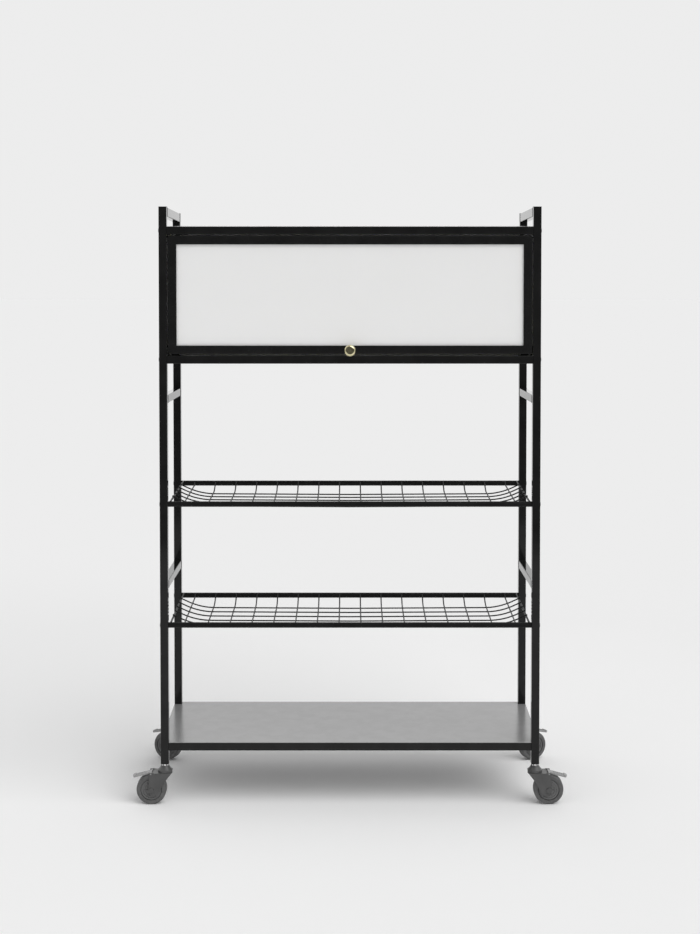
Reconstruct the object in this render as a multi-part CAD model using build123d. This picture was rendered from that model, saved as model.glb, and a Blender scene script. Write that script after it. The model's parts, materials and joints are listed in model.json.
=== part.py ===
from build123d import *

import math
import os

# Kitchen storage rack on swivel casters: a cabinet with a flip-up door on top, two dished wire trays
# and a bottom shelf, all carried by four square-tube posts.
# Millimetres, +Z up. The origin is on the floor under the middle of the frame, +X runs along the
# rack's length and +Y towards its back.

# Whole rack
RACK_LENGTH = 760.0
RACK_DEPTH = 270.0
RACK_HEIGHT = 1200.0

# Cabinet: its height, and the drop from the tops of the posts to its own top
CABINET_HEIGHT = 257.0
CABINET_DROP = 39.6

# Bottom shelf above the floor, and the tiers over it as shares of the height from there to the cabinet
SHELF_TOP = 125.6
LOWER_TRAY_SHARE = 0.3030
LOWER_BRACE_SHARE = 0.4167
UPPER_TRAY_SHARE = 0.6167
UPPER_BRACE_SHARE = 0.8966

# Square frame tube, and how far the sloping side rails fall towards the back
TUBE = 16.0
TUBE_WALL = 1.2
TUBE_CORNER = 1.5
TUBE_INNER_CORNER = 0.6
RAIL_END_PLATE = 3.0
SIDE_RAIL_FALL = 11.5

# Handle rails between the tops of the posts: a taller tube, a little below the caps
HANDLE_HEIGHT = 18.5
HANDLE_DROP = 1.5

# Sheet metal
SHEET = 1.0
PAN_FLANGE = 12.0
SIDE_PANEL_SETBACK = 8.8

# Clearances: round fits, pieces that lie beside each other, and the overrun of cuts
ROUND_FIT = 0.05
SIDE_FIT = 0.3
OVERRUN = 1.0

# Screws through the posts into the rails
SCREW_RADIUS = 2.5
SCREW_GRIP = 14.0
SCREW_HEAD_RADIUS = 4.75
SCREW_HEAD_HEIGHT = 0.9
SCREW_HEAD_ROUND = 0.5
SCREW_SOCKET_RADIUS = 1.6
SCREW_SOCKET_DEPTH = 2.2

# Plugs in the ends of the posts
CAP_PLATE = 1.2
CAP_PLUG = 10.0
INSERT_LENGTH = 26.0
PLUG_CORNER = 1.2

# Door
DOOR_THICKNESS = 12.0
DOOR_TOP_GAP = 1.6
DOOR_BOTTOM_GAP = 3.6
DOOR_SIDE_GAP = 2.0
DOOR_STILE = 17.0
DOOR_TOP_RAIL = 18.0
DOOR_BOTTOM_RAIL = 16.5
DOOR_EDGE = 2.0
WINDOW_EDGE = 1.0
PANEL_THICKNESS = 4.0
PANEL_LAP = 6.0
PANEL_RECESS = 4.0

# Door pivots
PIN_RADIUS = 2.5
PIN_DROP = 9.0
PIN_IN_DOOR = 12.0
PIN_IN_BUSH = 6.0
BUSH_RADIUS = 4.2
BUSH_LENGTH = 8.0
BUSH_FLANGE_RADIUS = 5.5
BUSH_FLANGE = 1.5

# Door catches
CATCH_INSET = 16.0
CATCH_LENGTH = 14.0
CATCH_DEPTH = 11.0
CATCH_HEIGHT = 14.0
CATCH_EDGE = 1.5

# Knob and its screw
KNOB_RADIUS = 11.3
KNOB_REACH = 26.0
KNOB_HEAD = 13.0
KNOB_FACE_ROUND = 5.0
KNOB_BACK_ROUND = 4.0
KNOB_FOOT = 2.5
KNOB_FOOT_RADIUS = 6.5
KNOB_NECK_RADIUS = 4.6
KNOB_SCREW_RADIUS = 2.0
KNOB_SCREW_HEAD_RADIUS = 3.6
KNOB_SCREW_HEAD_HEIGHT = 2.2
KNOB_SCREW_IN_KNOB = 9.0
KNOB_SCREW_SLOT = 1.0

# Wire trays
TRAY_RAIL_RADIUS = 5.5
TRAY_RAIL_WALL = 1.2
TRAY_RAIL_PLUG = 16.0
WIRE_RADIUS = 1.35
END_ROD_RADIUS = 2.0
END_ROD_GAP = 4.3
END_ROD_HEIGHT = 4.0
TRAY_DEPTH = 15.2
TRAY_SAG = 1.7
WELD = 0.3
END_WELD = 1.3
LONG_WIRE_COUNT = 5
LONG_WIRE_MARGIN = 55.0
LONG_WIRE_RISE_ANGLE = 25.0
LONG_WIRE_BEND = 140.0
LONG_WIRE_TAIL = 2.0
CROSS_WIRE_COUNT = 16
CROSS_WIRE_MARGIN = 25.2
CROSS_WIRE_RISE_ANGLE = 24.0
CROSS_WIRE_BEND_SHARE = 0.4
CROSS_WIRE_WELD_ANGLE = 35.0

# Casters
WHEEL_RADIUS = 30.0
WHEEL_WIDTH = 22.0
TYRE_INNER_RADIUS = 20.0
TYRE_SHOULDER = 4.0
TYRE_GROOVE = 1.5
TYRE_GROOVE_DEPTH = 2.5
HUB_RIM = 3.0
HUB_WIDTH = 20.0
HUB_WEB = 18.0
HUB_BOSS_RADIUS = 7.0
AXLE_RADIUS = 3.0
AXLE_HEAD_RADIUS = 5.5
AXLE_HEAD = 2.0
CASTER_TRAIL = 27.0
REAR_CASTER_TURN = 26.0
FORK_PLATE = 2.0
FORK_SIDE_GAP = 2.0
FORK_WHEEL_GAP = 1.5
FORK_TOP_PLATE = 3.0
FORK_HEAD_RADIUS = 14.5
FORK_CORNER = 3.0
BOSS_END_GAP = 0.4
# Side plate of the fork: along the trail as shares of it, height as shares of the fork's top
FORK_PLATE_SHARES = (
    (-0.52, 1.00),
    (-0.05, 0.75),
    (0.26, 0.53),
    (0.48, 0.31),
    (0.95, 0.28),
    (1.17, 0.37),
    (1.17, 1.00),
)

# Caster stem: a rivet flange under the fork, a flared race over it, a hexagon and a threaded stem
STEM_RADIUS = 4.0
STEM_RIVET_RADIUS = 7.0
STEM_RIVET = 3.0
STEM_RUNNING_GAP = 0.3
RACE_GAP = 0.5
RACE_RIM = 4.0
RACE_HEIGHT = 12.0
RACE_TOP_RADIUS = 8.0
RACE_FLARE_SHARE = 0.44
HEX_RADIUS = 7.2
HEX_HEIGHT = 4.0
STEM_LENGTH = 22.0

# Brake pedal
PEDAL_PIN_RADIUS = 1.25
PEDAL_HUB_RADIUS = 2.4
PEDAL_WHEEL_GAP = 0.4
PEDAL_PIVOT_SHARE = 1.02
PEDAL_EAR_WALL = 1.1
PEDAL_EAR_START_SHARE = 0.80
PEDAL_REACH = 37.0
PEDAL_TAIL = 2.0
PEDAL_WIDTH = 15.0
PEDAL_THICKNESS = 3.0
PEDAL_FALL_ANGLE = 14.0
PEDAL_TIP_CORNER = 6.0
PEDAL_LIP = 1.2

# Places worked out from the sizes above
HALF_LENGTH = RACK_LENGTH / 2
HALF_DEPTH = RACK_DEPTH / 2
INNER_X = HALF_LENGTH - TUBE
INNER_Y = HALF_DEPTH - TUBE
POST_X = HALF_LENGTH - TUBE / 2
POST_Y = HALF_DEPTH - TUBE / 2
TUBE_INSIDE = TUBE - 2 * TUBE_WALL

HANDLE_TOP = RACK_HEIGHT - HANDLE_DROP
CABINET_TOP = RACK_HEIGHT - CABINET_DROP
CABINET_FLOOR = CABINET_TOP - CABINET_HEIGHT
TIER_SPAN = CABINET_FLOOR - SHELF_TOP
LOWER_TRAY_HEIGHT = SHELF_TOP + LOWER_TRAY_SHARE * TIER_SPAN
LOWER_BRACE_TOP = SHELF_TOP + LOWER_BRACE_SHARE * TIER_SPAN
UPPER_TRAY_HEIGHT = SHELF_TOP + UPPER_TRAY_SHARE * TIER_SPAN
UPPER_BRACE_TOP = SHELF_TOP + UPPER_BRACE_SHARE * TIER_SPAN

AXLE_HEIGHT = WHEEL_RADIUS
FORK_UNDERSIDE = 2 * WHEEL_RADIUS + FORK_WHEEL_GAP
FORK_TOP = FORK_UNDERSIDE + FORK_TOP_PLATE
RACE_BOTTOM = FORK_TOP + RACE_GAP
RACE_TOP = RACE_BOTTOM + RACE_HEIGHT
POST_BOTTOM = RACE_TOP + HEX_HEIGHT
FORK_INSIDE = WHEEL_WIDTH / 2 + FORK_SIDE_GAP
FORK_OUTSIDE = FORK_INSIDE + FORK_PLATE
PEDAL_PIVOT_PLACE = PEDAL_PIVOT_SHARE * CASTER_TRAIL
PEDAL_PIVOT_HEIGHT = 2 * WHEEL_RADIUS + PEDAL_WHEEL_GAP + PEDAL_HUB_RADIUS
PEDAL_EAR_TOP = PEDAL_PIVOT_HEIGHT + PEDAL_PIN_RADIUS + PEDAL_EAR_WALL

BASE_RAIL_TOP = SHELF_TOP - SHEET
PANEL_INNER_X = HALF_LENGTH - SIDE_PANEL_SETBACK - SHEET

END_ROD_PLACE = INNER_X - END_ROD_GAP
LONG_WIRE_PITCH = 2 * (POST_Y - LONG_WIRE_MARGIN) / (LONG_WIRE_COUNT - 1)
CROSS_WIRE_PITCH = 2 * (END_ROD_PLACE - CROSS_WIRE_MARGIN) / (CROSS_WIRE_COUNT - 1)

DOOR_X = INNER_X - DOOR_SIDE_GAP
DOOR_FRONT = -HALF_DEPTH
DOOR_BACK = DOOR_FRONT + DOOR_THICKNESS
DOOR_TOP = CABINET_TOP - TUBE - DOOR_TOP_GAP
DOOR_BOTTOM = CABINET_FLOOR + DOOR_BOTTOM_GAP
WINDOW_X = DOOR_X - DOOR_STILE
WINDOW_TOP = DOOR_TOP - DOOR_TOP_RAIL
WINDOW_BOTTOM = DOOR_BOTTOM + DOOR_BOTTOM_RAIL
PANEL_BACK = DOOR_BACK - PANEL_RECESS
PANEL_FRONT = PANEL_BACK - PANEL_THICKNESS
PIN_Y = DOOR_FRONT + DOOR_THICKNESS / 2
PIN_Z = DOOR_TOP - PIN_DROP
KNOB_Z = DOOR_BOTTOM + DOOR_BOTTOM_RAIL / 2
CATCH_PLACE = INNER_X - CATCH_INSET

# Heights of the screws in every post, one for each rail that ends there
SCREW_HEIGHTS = (
    BASE_RAIL_TOP - TUBE / 2,
    LOWER_TRAY_HEIGHT,
    UPPER_TRAY_HEIGHT,
    CABINET_FLOOR - TUBE / 2,
    CABINET_TOP - TUBE / 2,
)
SIDES = {"left": -1, "right": 1}
ENDS = {"front": -1, "rear": 1}


def save(name, shape):
    """Writes one node, which is a solid or a list of separate solids."""
    if isinstance(shape, list):
        shape = Compound(children=shape)
    export_step(shape, os.path.join("parts", name + ".step"))


def block(low, high):
    """Box between two corners."""
    size = [b - a for a, b in zip(low, high)]
    middle = [(a + b) / 2 for a, b in zip(low, high)]
    return Pos(*middle) * Box(*size)


def rod_along_x(x_from, x_to, y, z, radius):
    """Cylinder along X between two places."""
    middle = Pos((x_from + x_to) / 2, y, z)
    return middle * Rot(0, 90, 0) * Cylinder(radius, abs(x_to - x_from))


def square_section(size, corner):
    return RectangleRounded(size, size, corner)


def tube_section(height=TUBE):
    """Wall of the frame tube, or of a taller tube of the same width."""
    outside = RectangleRounded(TUBE, height, TUBE_CORNER)
    return outside - RectangleRounded(TUBE_INSIDE, height - 2 * TUBE_WALL, TUBE_INNER_CORNER)


def post_top(end):
    """Height of a post's capped top: the rear ones end level with the falling handle rail."""
    return RACK_HEIGHT if end < 0 else HANDLE_TOP - SIDE_RAIL_FALL


def post(side, end):
    """Corner post, drilled for the rail screws and, in front, for the door's bush."""
    foot = Pos(side * POST_X, end * POST_Y, POST_BOTTOM)
    length = post_top(end) - CAP_PLATE - POST_BOTTOM
    body = foot * extrude(tube_section(), length)
    for height in SCREW_HEIGHTS:
        inside = side * (INNER_X - OVERRUN)
        outside = side * (HALF_LENGTH + OVERRUN)
        body -= rod_along_x(inside, outside, end * POST_Y, height, SCREW_RADIUS + ROUND_FIT)
    if end < 0:
        inside = side * (INNER_X - OVERRUN)
        in_hollow = side * (INNER_X + TUBE_WALL + OVERRUN)
        body -= rod_along_x(inside, in_hollow, PIN_Y, PIN_Z, BUSH_RADIUS + ROUND_FIT)
    return body


def post_cap(side, end):
    """Plug that closes the top of a post."""
    place = Pos(side * POST_X, end * POST_Y, post_top(end) - CAP_PLATE)
    plate = extrude(square_section(TUBE, TUBE_CORNER), CAP_PLATE)
    plug = extrude(square_section(TUBE_INSIDE, PLUG_CORNER), -CAP_PLUG)
    return place * (plate + plug)


def caster_insert(side, end):
    """Threaded plug in the foot of a post, which takes the caster's stem."""
    body = extrude(square_section(TUBE_INSIDE, PLUG_CORNER), INSERT_LENGTH)
    bore = extrude(Circle(STEM_RADIUS + ROUND_FIT), INSERT_LENGTH)
    return Pos(side * POST_X, end * POST_Y, POST_BOTTOM) * (body - bore)


def side_rail(side, top, fall, height=TUBE):
    """Rail from a front post to a rear post, welded to both."""
    start = Plane((side * POST_X, -INNER_Y, top - height / 2), x_dir=(1, 0, 0), z_dir=(0, 1, 0))
    run = 2 * INNER_Y
    return extrude(start * tube_section(height), math.hypot(run, fall), dir=(0, run, -fall))


def drilled_bar(outside, inside, x_end, solid_end, y, z):
    """Hollow bar along X with solid ends, drilled along its axis for the screws."""
    face = Plane((-x_end, y, z), x_dir=(0, 1, 0), z_dir=(1, 0, 0))
    body = extrude(face * outside, 2 * x_end)
    hollow_face = Plane((solid_end - x_end, y, z), x_dir=(0, 1, 0), z_dir=(1, 0, 0))
    body -= extrude(hollow_face * inside, 2 * (x_end - solid_end))
    return body - rod_along_x(-x_end, x_end, y, z, SCREW_RADIUS + ROUND_FIT)


def cross_rail(end, top):
    """Square rail between a left and a right post."""
    outside = square_section(TUBE, TUBE_CORNER)
    inside = square_section(TUBE_INSIDE, TUBE_INNER_CORNER)
    return drilled_bar(outside, inside, INNER_X, RAIL_END_PLATE, end * POST_Y, top - TUBE / 2)


def tray_rail(end, height):
    """Round rail of a wire tray."""
    outside = Circle(TRAY_RAIL_RADIUS)
    inside = Circle(TRAY_RAIL_RADIUS - TRAY_RAIL_WALL)
    return drilled_bar(outside, inside, INNER_X, TRAY_RAIL_PLUG, end * POST_Y, height)


def rail_screw(side, end, height):
    """Flat-head screw from the outside of a post into the end of a rail."""
    length = TUBE + SCREW_GRIP
    shank = extrude(Circle(SCREW_RADIUS), -length)
    head = extrude(Circle(SCREW_HEAD_RADIUS), SCREW_HEAD_HEIGHT)
    head = fillet(head.edges().sort_by(Axis.Z)[-1], SCREW_HEAD_ROUND)
    socket = extrude(RegularPolygon(SCREW_SOCKET_RADIUS, 6), -SCREW_SOCKET_DEPTH)
    screw = shank + head - Pos(0, 0, SCREW_HEAD_HEIGHT) * socket
    return Pos(side * HALF_LENGTH, end * POST_Y, height) * Rot(0, side * 90, 0) * screw


def pan(top):
    """Sheet between the cabinet's front and rear rails, with a flange down each of them."""
    body = block((-PANEL_INNER_X, -INNER_Y, top - SHEET), (PANEL_INNER_X, INNER_Y, top))
    for end in ENDS.values():
        low = (-INNER_X, min(end * INNER_Y, end * (INNER_Y - SHEET)), top - PAN_FLANGE)
        high = (INNER_X, max(end * INNER_Y, end * (INNER_Y - SHEET)), top)
        body += block(low, high)
    return body


def side_panel(side):
    """Upright sheet between a front and a rear post, which closes the cabinet's side."""
    inner = side * PANEL_INNER_X
    outer = side * (PANEL_INNER_X + SHEET)
    low = (min(inner, outer), -INNER_Y, CABINET_FLOOR - TUBE)
    high = (max(inner, outer), INNER_Y, CABINET_TOP)
    return block(low, high)


def back_panel():
    """Frosted panel that stands on the cabinet floor against the flange of the top pan."""
    back = INNER_Y - SHEET
    x_end = INNER_X - SIDE_FIT
    low = (-x_end, back - PANEL_THICKNESS, CABINET_FLOOR)
    high = (x_end, back, CABINET_TOP - SHEET)
    return block(low, high)


def bottom_shelf():
    """Flat sheet on the base rails, notched round the posts."""
    body = block((-HALF_LENGTH, -HALF_DEPTH, BASE_RAIL_TOP), (HALF_LENGTH, HALF_DEPTH, SHELF_TOP))
    notch = TUBE + SIDE_FIT
    for side in SIDES.values():
        for end in ENDS.values():
            corner = Pos(side * HALF_LENGTH, end * HALF_DEPTH, BASE_RAIL_TOP)
            body -= corner * Box(2 * notch, 2 * notch, 2 * (SHEET + OVERRUN))
    return body


def long_wire_end_height():
    """Height over the rails of the long wires where they lie on the end rods."""
    touch = END_ROD_RADIUS + WIRE_RADIUS - END_WELD
    return END_ROD_HEIGHT + touch / math.cos(math.radians(LONG_WIRE_RISE_ANGLE))


def long_wire_corner():
    """Place and height where a long wire's floor and its rising end would meet if the bend were sharp."""
    height = TRAY_SAG - TRAY_DEPTH
    run = (long_wire_end_height() - height) / math.tan(math.radians(LONG_WIRE_RISE_ANGLE))
    return END_ROD_PLACE - run, height


def long_wire_height(x):
    """Height of the long wires' middle line at a place along the tray."""
    corner_x, corner_z = long_wire_corner()
    floor_angle = math.atan2(TRAY_SAG, corner_x)
    end_angle = math.radians(LONG_WIRE_RISE_ANGLE)
    tangent = LONG_WIRE_BEND * math.tan((end_angle - floor_angle) / 2)
    bend_start = corner_x - tangent * math.cos(floor_angle)
    bend_end = corner_x + tangent * math.cos(end_angle)
    if abs(x) <= bend_start:
        return abs(x) * math.tan(floor_angle) - TRAY_DEPTH
    if abs(x) >= bend_end:
        return corner_z + (abs(x) - corner_x) * math.tan(end_angle)
    centre_x = bend_start - LONG_WIRE_BEND * math.sin(floor_angle)
    start_z = bend_start * math.tan(floor_angle) - TRAY_DEPTH
    centre_z = start_z + LONG_WIRE_BEND * math.cos(floor_angle)
    return centre_z - math.sqrt(LONG_WIRE_BEND**2 - (abs(x) - centre_x) ** 2)


def wire(points, bend):
    """Round wire along straight runs with equal bends."""
    path = FilletPolyline(*points, radius=bend)
    section = Plane(origin=path @ 0, z_dir=path % 0) * Circle(WIRE_RADIUS)
    return sweep(section, path=path)


def long_wire(y):
    """Wire along the tray, which sags a little in the middle and rises at both ends over the end rods."""
    corner_x, corner_z = long_wire_corner()
    tip_x = END_ROD_PLACE + LONG_WIRE_TAIL
    tip_z = long_wire_end_height() + LONG_WIRE_TAIL * math.tan(math.radians(LONG_WIRE_RISE_ANGLE))
    points = [
        (-tip_x, y, tip_z),
        (-corner_x, y, corner_z),
        (0, y, -TRAY_DEPTH),
        (corner_x, y, corner_z),
        (tip_x, y, tip_z),
    ]
    return wire(points, LONG_WIRE_BEND)


def cross_wire(x):
    """Wire across the tray, over the long wires, with its ends rising to the inner sides of the rails."""
    floor = long_wire_height(x) + 2 * WIRE_RADIUS - WELD
    rise_angle = math.radians(CROSS_WIRE_RISE_ANGLE)
    weld_angle = math.radians(CROSS_WIRE_WELD_ANGLE)
    reach = TRAY_RAIL_RADIUS - WELD
    tip_y = POST_Y - reach * math.cos(weld_angle)
    tip_z = reach * math.sin(weld_angle)
    corner_y = tip_y - (tip_z - floor) / math.tan(rise_angle)
    straight = (tip_z - floor) / math.sin(rise_angle)
    bend = CROSS_WIRE_BEND_SHARE * straight / math.tan(rise_angle / 2)
    points = [(x, -tip_y, tip_z), (x, -corner_y, floor), (x, corner_y, floor), (x, tip_y, tip_z)]
    return wire(points, bend)


def end_rod(side):
    """Rod across a tray's end, between the upper inner sides of both rails."""
    rail_gap = math.sqrt(TRAY_RAIL_RADIUS**2 - END_ROD_HEIGHT**2)
    half = POST_Y - rail_gap + WELD
    place = Pos(side * END_ROD_PLACE, 0, END_ROD_HEIGHT)
    return place * Rot(90, 0, 0) * Cylinder(END_ROD_RADIUS, 2 * half)


def tray_mesh(height):
    """Welded mesh of a tray: long wires, cross wires and end rods."""
    long_middle = (LONG_WIRE_COUNT - 1) / 2
    cross_middle = (CROSS_WIRE_COUNT - 1) / 2
    wires = [long_wire((i - long_middle) * LONG_WIRE_PITCH) for i in range(LONG_WIRE_COUNT)]
    wires += [cross_wire((i - cross_middle) * CROSS_WIRE_PITCH) for i in range(CROSS_WIRE_COUNT)]
    wires += [end_rod(side) for side in SIDES.values()]
    return Pos(0, 0, height) * wires[0].fuse(*wires[1:])


def door_frame():
    """Rounded door frame with a window, a rebate behind it for the panel, and holes for pins and screw."""
    body = block((-DOOR_X, DOOR_FRONT, DOOR_BOTTOM), (DOOR_X, DOOR_BACK, DOOR_TOP))
    body = fillet(body.edges(), DOOR_EDGE)
    front = DOOR_FRONT - OVERRUN
    back = DOOR_BACK + OVERRUN
    body -= block((-WINDOW_X, front, WINDOW_BOTTOM), (WINDOW_X, back, WINDOW_TOP))
    rim = [
        edge
        for edge in body.edges().filter_by_position(Axis.Y, DOOR_FRONT, DOOR_FRONT)
        if abs(edge.center().X) <= WINDOW_X and WINDOW_BOTTOM <= edge.center().Z <= WINDOW_TOP
    ]
    body = fillet(rim, WINDOW_EDGE)
    lap = PANEL_LAP + SIDE_FIT
    low = (-WINDOW_X - lap, PANEL_FRONT, WINDOW_BOTTOM - lap)
    high = (WINDOW_X + lap, back, WINDOW_TOP + lap)
    body -= block(low, high)
    for side in SIDES.values():
        hole_end = side * (DOOR_X - PIN_IN_DOOR)
        outside = side * (DOOR_X + OVERRUN)
        body -= rod_along_x(hole_end, outside, PIN_Y, PIN_Z, PIN_RADIUS + ROUND_FIT)
    screw_hole = Cylinder(KNOB_SCREW_RADIUS + ROUND_FIT, 2 * DOOR_THICKNESS + 2 * OVERRUN)
    return body - Pos(0, DOOR_FRONT, KNOB_Z) * Rot(90, 0, 0) * screw_hole


def door_panel():
    """Frosted panel in the rebate of the door frame."""
    low = (-WINDOW_X - PANEL_LAP, PANEL_FRONT, WINDOW_BOTTOM - PANEL_LAP)
    high = (WINDOW_X + PANEL_LAP, PANEL_BACK, WINDOW_TOP + PANEL_LAP)
    return block(low, high)


def hinge_pin(side):
    """Pivot pin from a door stile into the bush in the post beside it."""
    in_door = side * (DOOR_X - PIN_IN_DOOR)
    in_bush = side * (INNER_X + PIN_IN_BUSH)
    return rod_along_x(in_door, in_bush, PIN_Y, PIN_Z, PIN_RADIUS)


def hinge_bush(side):
    """Flanged bush in the inner wall of a front post."""
    flange = rod_along_x(side * (INNER_X - BUSH_FLANGE), side * INNER_X, PIN_Y, PIN_Z, BUSH_FLANGE_RADIUS)
    sleeve_end = side * (INNER_X + BUSH_LENGTH)
    sleeve = rod_along_x(side * INNER_X, sleeve_end, PIN_Y, PIN_Z, BUSH_RADIUS)
    bore_start = side * (INNER_X - BUSH_FLANGE - OVERRUN)
    bore_end = side * (INNER_X + BUSH_LENGTH + OVERRUN)
    return flange + sleeve - rod_along_x(bore_start, bore_end, PIN_Y, PIN_Z, PIN_RADIUS + ROUND_FIT)


def door_catch(side):
    """Magnetic catch on the cabinet's bottom rail, which stops the closed door."""
    front = DOOR_BACK + SIDE_FIT
    low = (side * CATCH_PLACE - CATCH_LENGTH / 2, front, CABINET_FLOOR)
    high = (side * CATCH_PLACE + CATCH_LENGTH / 2, front + CATCH_DEPTH, CABINET_FLOOR + CATCH_HEIGHT)
    body = block(low, high)
    top = body.faces().sort_by(Axis.Z)[-1]
    return fillet(top.edges(), CATCH_EDGE)


def door_knob():
    """Turned knob: a foot on the door, a neck and a head with a rounded face."""
    foot = extrude(Circle(KNOB_FOOT_RADIUS), KNOB_FOOT)
    foot = fillet(foot.edges().sort_by(Axis.Z)[-1], KNOB_FOOT / 2)
    neck = extrude(Circle(KNOB_NECK_RADIUS), KNOB_REACH - KNOB_HEAD / 2)
    head = extrude(Circle(KNOB_RADIUS), KNOB_HEAD)
    head = fillet(head.edges().sort_by(Axis.Z)[-1], KNOB_FACE_ROUND)
    head = fillet(head.edges().sort_by(Axis.Z)[0], KNOB_BACK_ROUND)
    knob = foot + neck + Pos(0, 0, KNOB_REACH - KNOB_HEAD) * head
    knob -= Cylinder(KNOB_SCREW_RADIUS + ROUND_FIT, 2 * (KNOB_SCREW_IN_KNOB + ROUND_FIT))
    return Pos(0, DOOR_FRONT, KNOB_Z) * Rot(90, 0, 0) * knob


def knob_screw():
    """Slotted screw from behind the door's bottom rail into the knob."""
    length = DOOR_THICKNESS + KNOB_SCREW_IN_KNOB
    body = extrude(Circle(KNOB_SCREW_RADIUS), length)
    head = extrude(Circle(KNOB_SCREW_HEAD_RADIUS), -KNOB_SCREW_HEAD_HEIGHT)
    slot_depth = KNOB_SCREW_HEAD_HEIGHT / 2
    slot = Box(2 * KNOB_SCREW_HEAD_RADIUS, KNOB_SCREW_SLOT, 2 * slot_depth)
    body += head - Pos(0, 0, -KNOB_SCREW_HEAD_HEIGHT) * slot
    return Pos(0, DOOR_BACK, KNOB_Z) * Rot(90, 0, 0) * body


def caster_place(side, end):
    """Frame of a caster: its swivel axis on the post's axis, its local X along the trail."""
    straight_out = 0 if side > 0 else 180
    turn = REAR_CASTER_TURN if end > 0 else 0
    return Pos(side * POST_X, end * POST_Y, 0) * Rot(0, 0, straight_out + side * turn)


def across(place, height, radius, length):
    """Cylinder across a caster, parallel to its axle."""
    return Pos(place, 0, height) * Rot(90, 0, 0) * Cylinder(radius, length)


def fork_plate_face():
    """Outline of a fork's side plate, with the ear that carries the pedal."""
    outline = [(along * CASTER_TRAIL, up * FORK_TOP) for along, up in FORK_PLATE_SHARES]
    plate = make_face(Polyline(*outline, close=True))
    plate = fillet(plate.vertices().group_by(Axis.Y)[:-1], FORK_CORNER)
    ear_start = PEDAL_EAR_START_SHARE * CASTER_TRAIL
    ear_end = FORK_PLATE_SHARES[-1][0] * CASTER_TRAIL
    ear_low = FORK_UNDERSIDE
    middle = Pos((ear_start + ear_end) / 2, (ear_low + PEDAL_EAR_TOP) / 2)
    ear = middle * Rectangle(ear_end - ear_start, PEDAL_EAR_TOP - ear_low)
    ear = fillet(ear.vertices().group_by(Axis.Y)[-1], PEDAL_EAR_WALL)
    return plate + ear


def fork():
    """Caster fork: a round head on the swivel axis, a bridge and two side plates."""
    head = Pos(0, 0, FORK_UNDERSIDE) * extrude(Circle(FORK_HEAD_RADIUS), FORK_TOP_PLATE)
    bridge_end = PEDAL_PIVOT_PLACE - PEDAL_HUB_RADIUS - OVERRUN
    bridge = block((0, -FORK_OUTSIDE, FORK_UNDERSIDE), (bridge_end, FORK_OUTSIDE, FORK_TOP))
    body = head + bridge
    for sign in (-1, 1):
        start = Plane((0, sign * FORK_INSIDE, 0), x_dir=(1, 0, 0), z_dir=(0, -1, 0))
        body += extrude(start * fork_plate_face(), -sign * FORK_PLATE)
    body -= Pos(0, 0, FORK_TOP) * Cylinder(STEM_RADIUS + ROUND_FIT, 2 * FORK_TOP)
    body -= across(CASTER_TRAIL, AXLE_HEIGHT, AXLE_RADIUS + ROUND_FIT, 3 * FORK_OUTSIDE)
    pin_hole = PEDAL_PIN_RADIUS + ROUND_FIT
    return body - across(PEDAL_PIVOT_PLACE, PEDAL_PIVOT_HEIGHT, pin_hole, 3 * FORK_OUTSIDE)


def axle():
    """Riveted axle through both plates of a fork."""
    body = across(CASTER_TRAIL, AXLE_HEIGHT, AXLE_RADIUS, 2 * FORK_OUTSIDE)
    for sign in (-1, 1):
        head = extrude(Circle(AXLE_HEAD_RADIUS), AXLE_HEAD)
        head = fillet(head.edges().sort_by(Axis.Z)[-1], AXLE_HEAD / 2)
        body += Pos(CASTER_TRAIL, sign * FORK_OUTSIDE, AXLE_HEIGHT) * Rot(-sign * 90, 0, 0) * head
    return body


def wheel_ring(inner, outer, width):
    """Half section of a ring of the wheel, radius along X and width along Y."""
    return Pos((inner + outer) / 2, 0) * Rectangle(outer - inner, width)


def wheel_hub():
    """Moulded hub: a rim under the tyre, a recessed web and a boss that runs on the axle."""
    bore = AXLE_RADIUS + ROUND_FIT
    rim_outer = TYRE_INNER_RADIUS - ROUND_FIT
    section = wheel_ring(rim_outer - HUB_RIM, rim_outer, HUB_WIDTH)
    section += wheel_ring(bore, rim_outer, HUB_WEB)
    section += wheel_ring(bore, HUB_BOSS_RADIUS, 2 * (FORK_INSIDE - BOSS_END_GAP))
    return Pos(CASTER_TRAIL, 0, AXLE_HEIGHT) * revolve(section, Axis.Y)


def tyre():
    """Rounded tread on the hub, with a groove beside the hub in each face."""
    groove_end = TYRE_INNER_RADIUS + TYRE_GROOVE
    section = wheel_ring(groove_end, WHEEL_RADIUS, WHEEL_WIDTH)
    section = fillet(section.vertices().group_by(Axis.X)[-1], TYRE_SHOULDER)
    section += wheel_ring(TYRE_INNER_RADIUS, groove_end, WHEEL_WIDTH - 2 * TYRE_GROOVE_DEPTH)
    return Pos(CASTER_TRAIL, 0, AXLE_HEIGHT) * revolve(section, Axis.Y)


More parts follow.
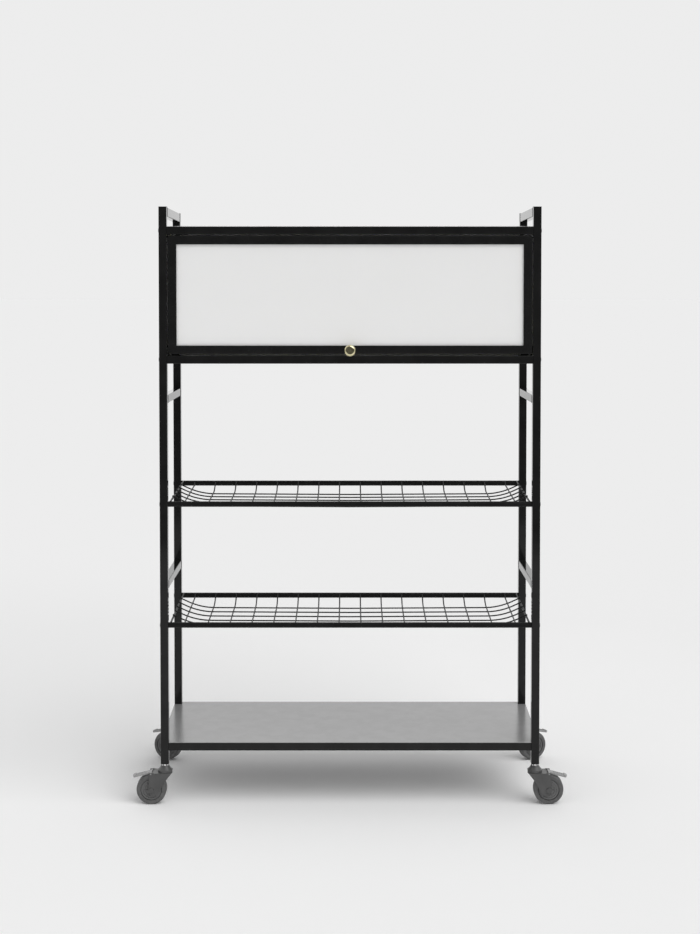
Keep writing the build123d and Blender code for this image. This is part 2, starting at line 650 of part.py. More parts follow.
def brake_pedal():
    """Foot pedal: a hub with pins that turn in the fork's ears, under a falling arm with a lip at its tip."""
    hub_length = 2 * (FORK_INSIDE - SIDE_FIT)
    hub = Rot(90, 0, 0) * Cylinder(PEDAL_HUB_RADIUS, hub_length)
    pins = Rot(90, 0, 0) * Cylinder(PEDAL_PIN_RADIUS, 2 * FORK_OUTSIDE)
    low = (-PEDAL_TAIL, -PEDAL_WIDTH / 2, PEDAL_HUB_RADIUS - PEDAL_THICKNESS)
    high = (PEDAL_REACH, PEDAL_WIDTH / 2, PEDAL_HUB_RADIUS)
    arm = block(low, high)
    lip_low = (PEDAL_REACH - PEDAL_TIP_CORNER, -PEDAL_WIDTH / 2, PEDAL_HUB_RADIUS - PEDAL_THICKNESS)
    lip_high = (PEDAL_REACH, PEDAL_WIDTH / 2, PEDAL_HUB_RADIUS + PEDAL_LIP)
    arm += block(lip_low, lip_high)
    tip = arm.edges().filter_by(Axis.Z).group_by(Axis.X)[-1]
    arm = fillet(tip, PEDAL_TIP_CORNER - OVERRUN)
    pedal = hub + pins + arm
    return Pos(PEDAL_PIVOT_PLACE, 0, PEDAL_PIVOT_HEIGHT) * Rot(0, PEDAL_FALL_ANGLE, 0) * pedal


def caster_stem():
    """Fixed middle of a caster: rivet flange, shank, flared race, hexagon and threaded stem."""
    rivet_top = FORK_UNDERSIDE - STEM_RUNNING_GAP
    body = Pos(0, 0, rivet_top - STEM_RIVET) * extrude(Circle(STEM_RIVET_RADIUS), STEM_RIVET)
    stem_top = POST_BOTTOM + STEM_LENGTH
    body += Pos(0, 0, rivet_top) * extrude(Circle(STEM_RADIUS), stem_top - rivet_top)
    rim_top = RACE_BOTTOM + RACE_RIM
    hollow = (
        RACE_TOP_RADIUS + RACE_FLARE_SHARE * (FORK_HEAD_RADIUS - RACE_TOP_RADIUS),
        rim_top + RACE_FLARE_SHARE * (RACE_TOP - rim_top),
    )
    race = [
        Polyline((0, RACE_TOP), (0, RACE_BOTTOM), (FORK_HEAD_RADIUS, RACE_BOTTOM), (FORK_HEAD_RADIUS, rim_top)),
        ThreePointArc((FORK_HEAD_RADIUS, rim_top), hollow, (RACE_TOP_RADIUS, RACE_TOP)),
        Line((RACE_TOP_RADIUS, RACE_TOP), (0, RACE_TOP)),
    ]
    body += Rot(90, 0, 0) * revolve(make_face(race), Axis.Y)
    hexagon = extrude(RegularPolygon(HEX_RADIUS, 6), HEX_HEIGHT)
    return body + Pos(0, 0, RACE_TOP) * hexagon


def build_frame():
    for side_name, side in SIDES.items():
        for end_name, end in ENDS.items():
            save(f"post_{end_name}_{side_name}", post(side, end))
        save(f"handle_rail_{side_name}", side_rail(side, HANDLE_TOP, SIDE_RAIL_FALL, HANDLE_HEIGHT))
        save(f"upper_brace_{side_name}", side_rail(side, UPPER_BRACE_TOP, SIDE_RAIL_FALL))
        save(f"lower_brace_{side_name}", side_rail(side, LOWER_BRACE_TOP, SIDE_RAIL_FALL))
        save(f"base_rail_{side_name}", side_rail(side, BASE_RAIL_TOP, 0))
    for end_name, end in ENDS.items():
        save(f"base_rail_{end_name}", cross_rail(end, BASE_RAIL_TOP))
        save(f"cabinet_bottom_rail_{end_name}", cross_rail(end, CABINET_FLOOR))
        save(f"cabinet_top_rail_{end_name}", cross_rail(end, CABINET_TOP))
    corners = [(side, end) for side in SIDES.values() for end in ENDS.values()]
    screws = [rail_screw(side, end, height) for side, end in corners for height in SCREW_HEIGHTS]
    save("rail_screws", screws)
    plugs = [post_cap(side, end) for side, end in corners]
    plugs += [caster_insert(side, end) for side, end in corners]
    save("post_end_plugs", plugs)


def build_cabinet():
    save("cabinet_top_sheet", pan(CABINET_TOP))
    save("cabinet_floor_sheet", pan(CABINET_FLOOR))
    save("cabinet_back_panel", back_panel())
    for side_name, side in SIDES.items():
        save(f"cabinet_side_sheet_{side_name}", side_panel(side))
    save("door_catches", [door_catch(side) for side in SIDES.values()])
    save("hinge_bushes", [hinge_bush(side) for side in SIDES.values()])


def build_door():
    save("door_frame", door_frame())
    save("door_panel", door_panel())
    save("door_knob", door_knob())
    save("knob_screw", knob_screw())
    save("hinge_pins", [hinge_pin(side) for side in SIDES.values()])


def build_shelves():
    save("bottom_shelf", bottom_shelf())
    for name, height in (("lower_tray", LOWER_TRAY_HEIGHT), ("upper_tray", UPPER_TRAY_HEIGHT)):
        save(f"{name}_mesh", tray_mesh(height))
        for end_name, end in ENDS.items():
            save(f"{name}_rail_{end_name}", tray_rail(end, height))


def build_casters():
    stems = []
    for end_name, end in ENDS.items():
        for side_name, side in SIDES.items():
            place = caster_place(side, end)
            corner = f"{end_name}_{side_name}"
            save(f"fork_{corner}", place * fork())
            save(f"axle_{corner}", place * axle())
            save(f"wheel_hub_{corner}", place * wheel_hub())
            save(f"tyre_{corner}", place * tyre())
            save(f"brake_pedal_{corner}", place * brake_pedal())
            stems.append(place * caster_stem())
    save("caster_stems", stems)


os.makedirs("parts", exist_ok=True)
build_frame()
build_cabinet()
build_door()
build_shelves()
build_casters()
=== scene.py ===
import json
import math

import bmesh
import bpy
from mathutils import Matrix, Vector


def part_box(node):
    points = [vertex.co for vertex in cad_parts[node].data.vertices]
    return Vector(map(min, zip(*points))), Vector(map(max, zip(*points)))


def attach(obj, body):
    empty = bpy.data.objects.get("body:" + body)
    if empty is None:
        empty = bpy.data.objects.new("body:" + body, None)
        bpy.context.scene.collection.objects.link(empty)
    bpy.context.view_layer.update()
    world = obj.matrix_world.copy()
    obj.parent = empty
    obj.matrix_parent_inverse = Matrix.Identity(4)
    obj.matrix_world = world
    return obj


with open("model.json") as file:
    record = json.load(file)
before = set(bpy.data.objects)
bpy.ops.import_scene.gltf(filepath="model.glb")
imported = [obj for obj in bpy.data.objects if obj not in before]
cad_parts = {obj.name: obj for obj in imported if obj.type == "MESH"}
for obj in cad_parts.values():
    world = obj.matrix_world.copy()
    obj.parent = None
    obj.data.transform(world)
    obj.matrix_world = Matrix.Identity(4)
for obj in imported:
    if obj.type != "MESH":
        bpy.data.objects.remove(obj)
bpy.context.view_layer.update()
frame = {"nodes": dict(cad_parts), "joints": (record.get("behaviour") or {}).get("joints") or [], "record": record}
nodes = frame["nodes"]

MM = 0.001

# Photograph: its height and the fitted lens in pixels
# Camera: its place in metres and its pitch in degrees
IMAGE_HEIGHT = 934.0
FOCAL_PIXELS = 1598.6
CENTRE_ROW = 278.3
SENSOR_MM = 36.0
CAMERA_DISTANCE = 3.1711
CAMERA_HEIGHT = 1.176
CAMERA_PITCH = 2.139

# Studio: the floor, the levels of light, where reflections go from dim to bright along +Y, and the
# key light's angles in degrees
FLOOR_SIZE = 40.0
FLOOR_FRONT = 2.6
# Floor tones near and far, and the distances over which they blend: the near tone is painted light, lighter to
# lift the rack's soft shadow on the floor around it
FLOOR_PAINTED_LIFT_NEAR = 0.975
FLOOR_FAR = 0.920
FLOOR_PAINTED_LIFT_FADE = (0.5, 1.6)
FLOOR_MOTTLE = 0.2
FLOOR_PATCHES = 3.0
FLOOR_ROUGHNESS = 0.9
BACKDROP = 0.845
REFLECTED_BACK = 1.08
REFLECTED_FRONT = 0.09
REFLECTED_TURN = (-0.75, 0.15)
AMBIENT = 0.60
KEY_SUN = 1.353
KEY_TILT = 42.0
KEY_TURN = 48.0
KEY_SPREAD = 54.0

# Wire trays: counts and pitches of the welded wires, and the nuggets where they cross
TRAYS = ("lower_tray", "upper_tray")
LONG_WIRES = 5
LONG_WIRE_PITCH = 36.0 * MM
CROSS_WIRES = 16
CROSS_WIRE_PITCH = 44.6 * MM
WIRE_RADIUS = 1.35 * MM
NUGGET_RADIUS = 1.8 * MM
NUGGET_SQUASH = 0.75
NUGGET_STEPS = 10

# Weld beads round the ends of the side rails
BEAD_RADIUS = 0.6 * MM
BEAD_RIPPLE = 0.22
BEAD_RIPPLE_LENGTH = 2.4 * MM
BEAD_STEP = 0.6 * MM
TUBE_CORNER = 1.5 * MM

# Seal behind the door panel
SEAL_RADIUS = 1.5 * MM
SEAL_CORNER = 4.0 * MM
SEAL_STEP = 12.0 * MM

# Casters: collar under the post, rings and ribs on the wheel's faces, grips on the pedal
COLLAR_RADIUS = 7.6 * MM
COLLAR_HEIGHT = 4.0 * MM
COLLAR_BEVEL = 0.4 * MM
COLLAR_WALL = 1.6 * MM
COLLAR_SIDES = 6
HUB_FACE = 9.0 * MM
HUB_RING = (11.2 * MM, 13.6 * MM)
HUB_RING_RISE = 0.9 * MM
HUB_RIBS = 6
HUB_RIB = (7.5 * MM, 17.0 * MM)
HUB_RIB_RADIUS = 0.9 * MM
PEDAL_FALL_ANGLE = 14.0
PEDAL_TOP = 2.4 * MM
PEDAL_WIDTH = 15.0 * MM
GRIP_PLACES = [place * MM for place in (11.0, 15.0, 19.0, 23.0, 27.0)]
GRIP_RADIUS = 0.8 * MM
GRIP_MARGIN = 2.0 * MM

# Coats: darkest and lightest tone, least and most roughness, index of refraction
COATS = {
    "frame_coat": (0.010, 0.013, 0.05, 0.09, 1.28),
    "wire_coat": (0.007, 0.010, 0.36, 0.46, 1.22),
    "sheet_coat": (0.235, 0.255, 0.18, 0.24, 1.75),
    "door_coat": (0.010, 0.013, 0.20, 0.28, 1.27),
    "black_steel": (0.008, 0.012, 0.20, 0.30, 1.35),
    "caster_coat": (0.065, 0.080, 0.30, 0.40, 1.45),
}
# Plastics: darkest and lightest tone, least and most roughness
PLASTICS = {
    "black_plastic": (0.006, 0.010, 0.35, 0.50),
    "nylon": (0.018, 0.022, 0.40, 0.50),
    "caster_plastic": (0.110, 0.130, 0.40, 0.50),
    "pedal_plastic": (0.260, 0.300, 0.35, 0.45),
}
PLASTIC_IOR = 1.48

# Other materials: their two tones, least and most roughness, and what is special to each
PANEL_TONES = ((0.954, 0.955, 0.936, 1.0), (0.964, 0.964, 0.948, 1.0))
PANEL_ROUGHNESS = (0.50, 0.62)
PANEL_IOR = 1.49
PANEL_MILKY_SHARE = 0.5
PANEL_SCATTER_SHARES = (1.0, 1.0, 0.95)
PANEL_SCATTER = 6.0 * MM
BRASS_TONES = ((0.78, 0.72, 0.46, 1.0), (0.70, 0.64, 0.40, 1.0))
BRASS_ROUGHNESS = (0.15, 0.22)
ZINC_TONES = (0.62, 0.72)
ZINC_ROUGHNESS = (0.22, 0.36)
ZINC_STRETCH = (1.0, 1.0, 6.0)
TYRE_TONES = (0.09, 0.13)
TYRE_ROUGHNESS = (0.55, 0.75)
TYRE_IOR = 1.46
TYRE_SCUFFS = (0.4, 0.75)

# Grain in cycles per metre: blotches of tone, patches of gloss, and the surface with its depth
COAT_BLOTCHES, COAT_GLOSS, COAT_SURFACE, COAT_DEPTH = 35.0, 260.0, 1400.0, 0.01 * MM
PANEL_BLOTCHES, PANEL_GLOSS, PANEL_SURFACE, PANEL_DEPTH = 6.0, 900.0, 2600.0, 0.01 * MM
PLASTIC_BLOTCHES, PLASTIC_GLOSS, PLASTIC_SURFACE, PLASTIC_DEPTH = 60.0, 400.0, 2200.0, 0.02 * MM
TYRE_BLOTCHES, TYRE_GLOSS, TYRE_SURFACE, TYRE_DEPTH = 90.0, 300.0, 1500.0, 0.03 * MM
BRASS_BLOTCHES, BRASS_GLOSS = 180.0, 500.0
ZINC_BLOTCHES, ZINC_GLOSS = 220.0, 700.0
FINE_DETAIL, DETAIL, SCUFF_DETAIL = 2.0, 3.0, 6.0
NOISE_MIDDLE = (0.35, 0.65)

SIDES = ("left", "right")
ENDS = {"front": -1, "rear": 1}
CORNERS = [f"{end}_{side}" for end in ENDS for side in SIDES]
UP = Vector((0.0, 0.0, 1.0))
BACK = Vector((0.0, 1.0, 0.0))
ROUND_STEPS = 8
LEAST_ARC_STEPS = 4
RING_STEPS = 48


def grey(value):
    return (value, value, value, 1.0)


class Look:
    """Builds one node material around a Principled shader."""

    def __init__(self, name):
        self.material = bpy.data.materials.new(name)
        self.material.use_nodes = True
        tree = self.material.node_tree
        self.nodes = tree.nodes
        self.links = tree.links
        self.shader = next(n for n in self.nodes if n.type == "BSDF_PRINCIPLED")
        self.place = self.nodes.new("ShaderNodeTexCoord").outputs["Object"]

    def set(self, **values):
        """Constants, straight on the shader's sockets."""
        for socket, value in values.items():
            self.shader.inputs[socket.replace("_", " ")].default_value = value

    def noise(self, scale, detail=DETAIL, stretch=None):
        """Noise over the piece, in cycles per metre, stretched along an axis where wanted."""
        node = self.nodes.new("ShaderNodeTexNoise")
        node.inputs["Scale"].default_value = scale
        node.inputs["Detail"].default_value = detail
        place = self.place
        if stretch:
            mapping = self.nodes.new("ShaderNodeMapping")
            mapping.inputs["Scale"].default_value = stretch
            self.links.new(place, mapping.inputs["Vector"])
            place = mapping.outputs["Vector"]
        self.links.new(place, node.inputs["Vector"])
        return node.outputs["Fac"]

    def span(self, value, low, high, ends=NOISE_MIDDLE):
        """Value between two ends mapped onto a range."""
        node = self.nodes.new("ShaderNodeMapRange")
        node.inputs["From Min"].default_value = ends[0]
        node.inputs["From Max"].default_value = ends[1]
        node.inputs["To Min"].default_value = low
        node.inputs["To Max"].default_value = high
        self.links.new(value, node.inputs["Value"])
        return node.outputs["Result"]

    def distance(self):
        """Distance from the piece's origin, in metres."""
        node = self.nodes.new("ShaderNodeVectorMath")
        node.operation = "LENGTH"
        self.links.new(self.place, node.inputs[0])
        return node.outputs["Value"]

    def mottle(self, value, noise, amount):
        """Value with a share of noise added."""
        node = self.nodes.new("ShaderNodeMath")
        node.operation = "MULTIPLY_ADD"
        node.use_clamp = True
        node.inputs[1].default_value = amount
        self.links.new(noise, node.inputs[0])
        self.links.new(value, node.inputs[2])
        return node.outputs["Value"]

    def blend(self, value, first, second):
        """Colour between two, by a value from 0 to 1."""
        node = self.nodes.new("ShaderNodeMix")
        node.data_type = "RGBA"
        colour_in = [s for s in node.inputs if s.type == "RGBA"]
        colour_in[0].default_value = first
        colour_in[1].default_value = second
        self.links.new(value, node.inputs["Factor"])
        return next(s for s in node.outputs if s.type == "RGBA")

    def colour(self, output):
        self.links.new(output, self.shader.inputs["Base Color"])

    def tones(self, noise, first, second, ends=NOISE_MIDDLE):
        """Base colour that wanders between two by a noise."""
        self.colour(self.blend(self.span(noise, 0.0, 1.0, ends), first, second))

    def roughness(self, output):
        self.links.new(output, self.shader.inputs["Roughness"])

    def bump(self, height, depth):
        """Relief of a given depth, in metres."""
        node = self.nodes.new("ShaderNodeBump")
        node.inputs["Distance"].default_value = depth
        self.links.new(height, node.inputs["Height"])
        self.links.new(node.outputs["Normal"], self.shader.inputs["Normal"])


def powder_coat(name, dark, light, rough_low, rough_high, ior):
    """Powder coat: faint blotches of tone, uneven gloss and an orange-peel surface."""
    look = Look(name)
    look.tones(look.noise(COAT_BLOTCHES), grey(dark), grey(light))
    look.roughness(look.span(look.noise(COAT_GLOSS), rough_low, rough_high))
    look.bump(look.noise(COAT_SURFACE, FINE_DETAIL), COAT_DEPTH)
    look.set(IOR=ior)
    return look.material


def frosted_panel():
    """Frosted acrylic: soft white body with a fine grain in its surface."""
    look = Look("frosted_acrylic")
    look.tones(look.noise(PANEL_BLOTCHES), *PANEL_TONES)
    look.roughness(look.span(look.noise(PANEL_GLOSS), *PANEL_ROUGHNESS))
    look.bump(look.noise(PANEL_SURFACE, FINE_DETAIL), PANEL_DEPTH)
    look.set(IOR=PANEL_IOR, Subsurface_Weight=PANEL_MILKY_SHARE)
    look.set(Subsurface_Radius=PANEL_SCATTER_SHARES, Subsurface_Scale=PANEL_SCATTER)
    return look.material


def turned_brass():
    """Polished brass with faint patches of tarnish."""
    look = Look("turned_brass")
    look.tones(look.noise(BRASS_BLOTCHES), *BRASS_TONES)
    look.roughness(look.span(look.noise(BRASS_GLOSS), *BRASS_ROUGHNESS))
    look.set(Metallic=1.0)
    return look.material


def zinc_steel():
    """Bright zinc plating with fine drawn lines."""
    look = Look("zinc_steel")
    look.tones(look.noise(ZINC_BLOTCHES), *map(grey, ZINC_TONES))
    look.roughness(look.span(look.noise(ZINC_GLOSS, stretch=ZINC_STRETCH), *ZINC_ROUGHNESS))
    look.set(Metallic=1.0)
    return look.material


def moulded_plastic(name, dark, light, rough_low, rough_high):
    """Moulded plastic: slight tone variation and a spark-eroded grain."""
    look = Look(name)
    look.tones(look.noise(PLASTIC_BLOTCHES), grey(dark), grey(light))
    look.roughness(look.span(look.noise(PLASTIC_GLOSS), rough_low, rough_high))
    look.bump(look.noise(PLASTIC_SURFACE, FINE_DETAIL), PLASTIC_DEPTH)
    look.set(IOR=PLASTIC_IOR)
    return look.material


def tyre_rubber():
    """Grey rubber with scuffs and a trace of dust."""
    look = Look("tyre_rubber")
    look.tones(look.noise(TYRE_BLOTCHES, SCUFF_DETAIL), *map(grey, TYRE_TONES), TYRE_SCUFFS)
    look.roughness(look.span(look.noise(TYRE_GLOSS), *TYRE_ROUGHNESS))
    look.bump(look.noise(TYRE_SURFACE), TYRE_DEPTH)
    look.set(IOR=TYRE_IOR)
    return look.material


MATERIALS = {
    "frosted_panel": frosted_panel(),
    "brass": turned_brass(),
    "zinc_steel": zinc_steel(),
    "tyre_rubber": tyre_rubber(),
}
for coat, values in COATS.items():
    MATERIALS[coat] = powder_coat(coat, *values)
for plastic, values in PLASTICS.items():
    MATERIALS[plastic] = moulded_plastic(plastic, *values)


def dress_nodes():
    """Gives every CAD node the material of its slot."""
    for entry in frame["record"]["subparts"]:
        mesh = nodes[entry["node"]].data
        mesh.materials.clear()
        mesh.materials.append(MATERIALS[entry["material_slot"]])


def add_camera():
    """Camera of the photograph, straight in front of the rack."""
    data = bpy.data.cameras.new("camera")
    data.sensor_fit = "VERTICAL"
    data.sensor_height = SENSOR_MM
    data.lens = FOCAL_PIXELS / IMAGE_HEIGHT * SENSOR_MM
    data.shift_y = (CENTRE_ROW - IMAGE_HEIGHT / 2) / IMAGE_HEIGHT
    data.clip_end = 2 * FLOOR_SIZE
    camera = bpy.data.objects.new("camera", data)
    bpy.context.scene.collection.objects.link(camera)
    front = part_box("post_front_left")[0].y
    camera.location = (0.0, front - CAMERA_DISTANCE, CAMERA_HEIGHT)
    camera.rotation_euler = (math.pi / 2 - math.radians(CAMERA_PITCH), 0.0, 0.0)
    bpy.context.scene.camera = camera


def add_floor():
    """Pale floor, painted lighter near the rack to lift the rack's soft shadow there, and blending to a plain tone
    further off.
    """
    mesh = bpy.data.meshes.new("floor")
    half = FLOOR_SIZE / 2
    corners = [(-half, -FLOOR_FRONT, 0), (half, -FLOOR_FRONT, 0), (half, half, 0), (-half, half, 0)]
    mesh.from_pydata(corners, [], [(0, 1, 2, 3)])
    floor = bpy.data.objects.new("floor", mesh)
    bpy.context.scene.collection.objects.link(floor)
    look = Look("floor")
    # Painted light: the floor is lighter near the rack, lifting the rack's soft shadow, and blends in patches to
    # its plain tone further off
    painted_lift_fade = look.span(look.distance(), 0.0, 1.0, FLOOR_PAINTED_LIFT_FADE)
    patchy_painted_lift = look.mottle(painted_lift_fade, look.noise(FLOOR_PATCHES), FLOOR_MOTTLE)
    look.colour(look.blend(patchy_painted_lift, grey(FLOOR_PAINTED_LIFT_NEAR), grey(FLOOR_FAR)))
    look.set(Roughness=FLOOR_ROUGHNESS, Specular_IOR_Level=0.0)
    mesh.materials.append(look.material)


def add_world():
    """Pale studio: soft light on surfaces, and reflections of a bright back and a dim front."""
    world = bpy.data.worlds.new("studio")
    world.use_nodes = True
    bpy.context.scene.world = world
    tree_nodes = world.node_tree.nodes
    links = world.node_tree.links
    tree_nodes.clear()

    def even(level):
        """Background of one brightness."""
        background = tree_nodes.new("ShaderNodeBackground")
        background.inputs["Color"].default_value = grey(level)
        return background.outputs["Background"]

    def front_to_back(turn, front, back):
        """Background whose brightness goes smoothly from one level to another along +Y."""
        place = tree_nodes.new("ShaderNodeTexCoord")
        split = tree_nodes.new("ShaderNodeSeparateXYZ")
        links.new(place.outputs["Generated"], split.inputs["Vector"])
        span = tree_nodes.new("ShaderNodeMapRange")
        span.interpolation_type = "SMOOTHSTEP"
        span.inputs["From Min"].default_value = turn[0]
        span.inputs["From Max"].default_value = turn[1]
        span.inputs["To Min"].default_value = front
        span.inputs["To Max"].default_value = back
        links.new(split.outputs["Y"], span.inputs["Value"])
        background = tree_nodes.new("ShaderNodeBackground")
        links.new(span.outputs["Result"], background.inputs["Color"])
        return background.outputs["Background"]

    def mix(share, first, second):
        """One light or another, by the kind of ray."""
        node = tree_nodes.new("ShaderNodeMixShader")
        links.new(share, node.inputs["Fac"])
        links.new(first, node.inputs[1])
        links.new(second, node.inputs[2])
        return node.outputs["Shader"]

    reflected = front_to_back(REFLECTED_TURN, REFLECTED_FRONT, REFLECTED_BACK)
    path = tree_nodes.new("ShaderNodeLightPath")
    lighting = mix(path.outputs["Is Glossy Ray"], even(AMBIENT), reflected)
    surroundings = mix(path.outputs["Is Camera Ray"], lighting, even(BACKDROP))
    out = tree_nodes.new("ShaderNodeOutputWorld")
    links.new(surroundings, out.inputs["Surface"])


def add_key_light():
    """Soft light from above, the front and the right."""
    data = bpy.data.lights.new("key_light", "SUN")
    data.energy = KEY_SUN
    data.angle = math.radians(KEY_SPREAD)
    sun = bpy.data.objects.new("key_light", data)
    sun.rotation_euler = (math.radians(KEY_TILT), 0.0, math.radians(KEY_TURN))
    bpy.context.scene.collection.objects.link(sun)


def add_piece(name, parts, slot, body, smooth=True):
    """One mesh of several closed parts, each a pair of points and faces, that moves with a body."""
    points = []
    faces = []
    for part_points, part_faces in parts:
        start = len(points)
        points += part_points
        faces += [[start + corner for corner in face] for face in part_faces]
    mesh = bpy.data.meshes.new(name)
    mesh.from_pydata(points, [], faces)
    shape = bmesh.new()
    shape.from_mesh(mesh)
    bmesh.ops.recalc_face_normals(shape, faces=shape.faces)
    shape.to_mesh(mesh)
    shape.free()
    mesh.materials.append(MATERIALS[slot])
    for polygon in mesh.polygons:
        polygon.use_smooth = smooth
    piece = bpy.data.objects.new(name, mesh)
    bpy.context.scene.collection.objects.link(piece)
    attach(piece, body)


def ring_faces(rows, steps, closed):
    """Quads between rows of points round a line; an open line gets its ends closed."""
    faces = []
    for row in range(rows if closed else rows - 1):
        after = (row + 1) % rows
        for step in range(steps):
            beside = (step + 1) % steps
            here = [row * steps + step, row * steps + beside]
            there = [after * steps + beside, after * steps + step]
            faces.append(here + there)
    if not closed:
        faces.append(tuple(reversed(range(steps))))
        faces.append(tuple(range((rows - 1) * steps, rows * steps)))
    return faces


def bead(path, radius, normal, closed, ripple=0.0, ripple_length=1.0):
    """Round bead along points in a plane with the given normal, its thickness rippling along it."""
    points = []
    travelled = 0.0
    for index, place in enumerate(path):
        before = path[index - 1] if closed or index > 0 else place
        after = path[(index + 1) % len(path)] if closed or index + 1 < len(path) else place
        along = (after - before).normalized()
        outward = along.cross(normal)
        if index > 0:
            travelled += (place - path[index - 1]).length
        size = radius * (1.0 + ripple * math.sin(2 * math.pi * travelled / ripple_length))
        for step in range(ROUND_STEPS):
            angle = 2 * math.pi * step / ROUND_STEPS
            points.append(place + size * (math.cos(angle) * outward + math.sin(angle) * normal))
    return points, ring_faces(len(path), ROUND_STEPS, closed)


def rounded_loop(centre, half_x, half_z, corner, step):
    """Points round an upright rectangle with rounded corners, square to Y."""
    loop = []
    arc_steps = max(LEAST_ARC_STEPS, round(corner * math.pi / 2 / step))
    turns = ((1, 1), (-1, 1), (-1, -1), (1, -1))
    for quarter, (side, up) in enumerate(turns):
        arc_centre = centre + Vector((side * (half_x - corner), 0.0, up * (half_z - corner)))
        for index in range(arc_steps + 1):
            angle = math.pi / 2 * (quarter + index / arc_steps)
            loop.append(arc_centre + corner * Vector((math.cos(angle), 0.0, math.sin(angle))))
    filled = []
    for index, place in enumerate(loop):
        after = loop[(index + 1) % len(loop)]
        pieces = max(1, round((after - place).length / step))
        filled += [place.lerp(after, share / pieces) for share in range(pieces)]
    return filled


def turned(profile, centre, axis, steps):
    """Ring turned about an axis from a closed profile of radius and place along the axis."""
    axis = axis.normalized()
    first = axis.orthogonal().normalized()
    second = axis.cross(first)
    points = []
    for step in range(steps):
        angle = 2 * math.pi * step / steps
        outward = math.cos(angle) * first + math.sin(angle) * second
        points += [centre + radius * outward + place * axis for radius, place in profile]
    return points, ring_faces(steps, len(profile), True)


def nugget(centre, radius, squash):
    """Small flattened drop of weld."""
    points = []
    rows = NUGGET_STEPS // 2
    for row in range(rows):
        lean = math.pi * (row + 0.5) / rows
        for step in range(NUGGET_STEPS):
            angle = 2 * math.pi * step / NUGGET_STEPS
            across = radius * math.sin(lean)
            up = squash * radius * math.cos(lean)
            points.append(centre + Vector((across * math.cos(angle), across * math.sin(angle), up)))
    return points, ring_faces(rows, NUGGET_STEPS, False)


def joint_place(name):
    """Place and axis of a joint at rest."""
    joint = next(j for j in frame["joints"] if j["name"] == name)
    return Vector(joint["pos_m"]), Vector(joint["axis"])


def add_rail_welds():
    """Bead of weld round both ends of each sloping side rail, against the posts."""
    for rail in ("handle_rail", "upper_brace", "lower_brace"):
        for side in SIDES:
            corners = [v.co for v in nodes[f"{rail}_{side}"].data.vertices]
            parts = []
            for end in ENDS.values():
                face_y = end * max(end * c.y for c in corners)
                face = [c for c in corners if abs(c.y - face_y) < BEAD_RADIUS]
                low = Vector(min(c[i] for c in face) for i in range(3))
                high = Vector(max(c[i] for c in face) for i in range(3))
                middle = (low + high) / 2
                middle.y = face_y - end * BEAD_RADIUS / 2
                half = (high - low) / 2
                loop = rounded_loop(middle, half.x, half.z, TUBE_CORNER, BEAD_STEP)
                parts.append(bead(loop, BEAD_RADIUS, BACK, True, BEAD_RIPPLE, BEAD_RIPPLE_LENGTH))
            add_piece(f"weld_{rail}_{side}", parts, "frame_coat", "rack")


def add_tray_welds():
    """Nugget of weld where each cross wire lies on a long wire."""
    for tray in TRAYS:
        mesh = nodes[f"{tray}_mesh"]
        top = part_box(f"{tray}_mesh")[1].z + NUGGET_RADIUS
        parts = []
        for cross in range(CROSS_WIRES):
            for long in range(LONG_WIRES):
                x = (cross - (CROSS_WIRES - 1) / 2) * CROSS_WIRE_PITCH
                y = (long - (LONG_WIRES - 1) / 2) * LONG_WIRE_PITCH
                hit, place, _, _ = mesh.ray_cast(Vector((x, y, top)), -UP)
                if hit:
                    contact = place - 2 * WIRE_RADIUS * UP
                    parts.append(nugget(contact, NUGGET_RADIUS, NUGGET_SQUASH))
        add_piece(f"{tray}_welds", parts, "wire_coat", "rack")


def add_door_seal():
    """Seal that holds the frosted panel in the rebate behind the door."""
    low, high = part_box("door_panel")
    middle = (low + high) / 2
    middle.y = high.y + SEAL_RADIUS
    half = (high - low) / 2
    loop = rounded_loop(middle, half.x - SEAL_RADIUS, half.z - SEAL_RADIUS, SEAL_CORNER, SEAL_STEP)
    add_piece("door_seal", [bead(loop, SEAL_RADIUS, BACK, True)], "black_plastic", "door")


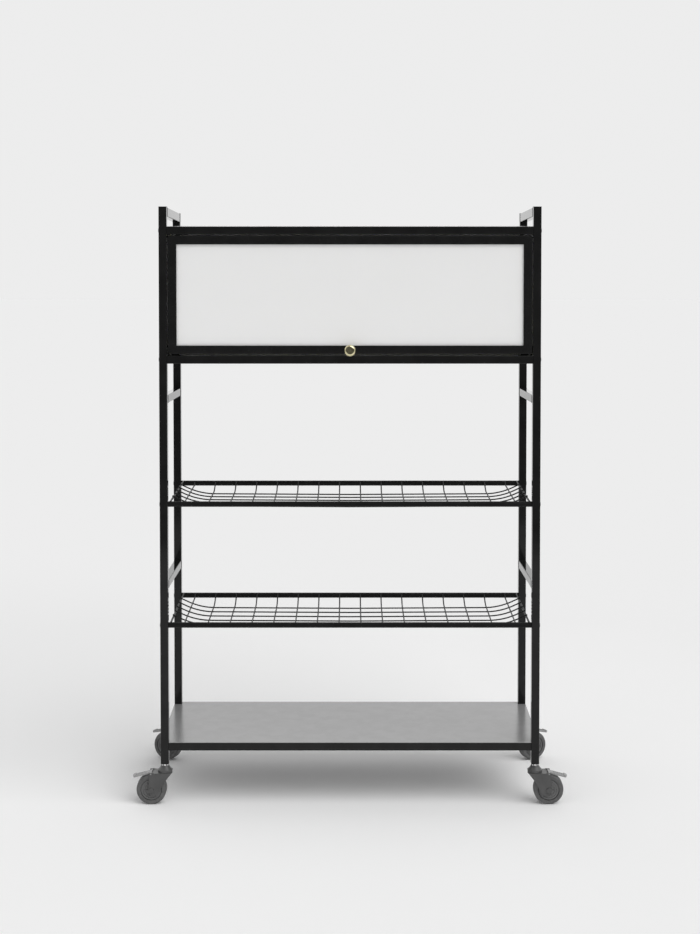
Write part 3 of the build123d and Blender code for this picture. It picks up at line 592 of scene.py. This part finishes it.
def add_stem_collars():
    """Bright hexagonal collar on each caster stem, between its race and the post."""
    posts = [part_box(f"post_{corner}") for corner in CORNERS]
    parts = []
    for low, high in posts:
        foot = Vector(((low.x + high.x) / 2, (low.y + high.y) / 2, low.z))
        height = COLLAR_HEIGHT
        outer = COLLAR_RADIUS
        inner = COLLAR_RADIUS - COLLAR_WALL
        profile = [
            (inner, -height),
            (outer - COLLAR_BEVEL, -height),
            (outer, COLLAR_BEVEL - height),
            (outer, -COLLAR_BEVEL),
            (outer - COLLAR_BEVEL, 0.0),
            (inner, 0.0),
        ]
        parts.append(turned(profile, foot, UP, COLLAR_SIDES))
    add_piece("stem_collars", parts, "zinc_steel", "rack", smooth=False)


def add_wheel_faces():
    """Raised ring and ribs on both faces of each wheel's hub."""
    for corner in CORNERS:
        centre, axis = joint_place(f"wheel_spin_{corner}")
        across = axis.cross(UP)
        parts = []
        for face in (-1, 1):
            base = face * (HUB_FACE - HUB_RING_RISE)
            rise = face * (HUB_FACE + HUB_RING_RISE)
            inner, outer = HUB_RING
            top = [(inner + HUB_RING_RISE, rise), (outer - HUB_RING_RISE, rise)]
            profile = [(inner, base), *top, (outer, base)]
            parts.append(turned(profile, centre, axis, RING_STEPS))
            for rib in range(HUB_RIBS):
                angle = 2 * math.pi * rib / HUB_RIBS
                outward = math.cos(angle) * across + math.sin(angle) * UP
                start, end = (centre + face * HUB_FACE * axis + radius * outward for radius in HUB_RIB)
                parts.append(bead([start, end], HUB_RIB_RADIUS, axis, False))
        add_piece(f"wheel_face_{corner}", parts, "caster_plastic", f"wheel_{corner}")


def add_pedal_grips():
    """Grip bars across the top of each brake pedal."""
    fall = math.radians(PEDAL_FALL_ANGLE)
    for corner in CORNERS:
        pivot, axis = joint_place(f"brake_{corner}")
        outward = axis.cross(UP)
        along = math.cos(fall) * outward - math.sin(fall) * UP
        normal = math.sin(fall) * outward + math.cos(fall) * UP
        half = PEDAL_WIDTH / 2 - GRIP_MARGIN
        parts = []
        for place in GRIP_PLACES:
            middle = pivot + place * along + PEDAL_TOP * normal
            parts.append(bead([middle - half * axis, middle + half * axis], GRIP_RADIUS, normal, False))
        add_piece(f"pedal_grips_{corner}", parts, "pedal_plastic", f"pedal_{corner}")


dress_nodes()
add_rail_welds()
add_tray_welds()
add_door_seal()
add_stem_collars()
add_wheel_faces()
add_pedal_grips()
add_camera()
add_floor()
add_world()
add_key_light()

bpy.context.scene.view_settings.view_transform = "Standard"
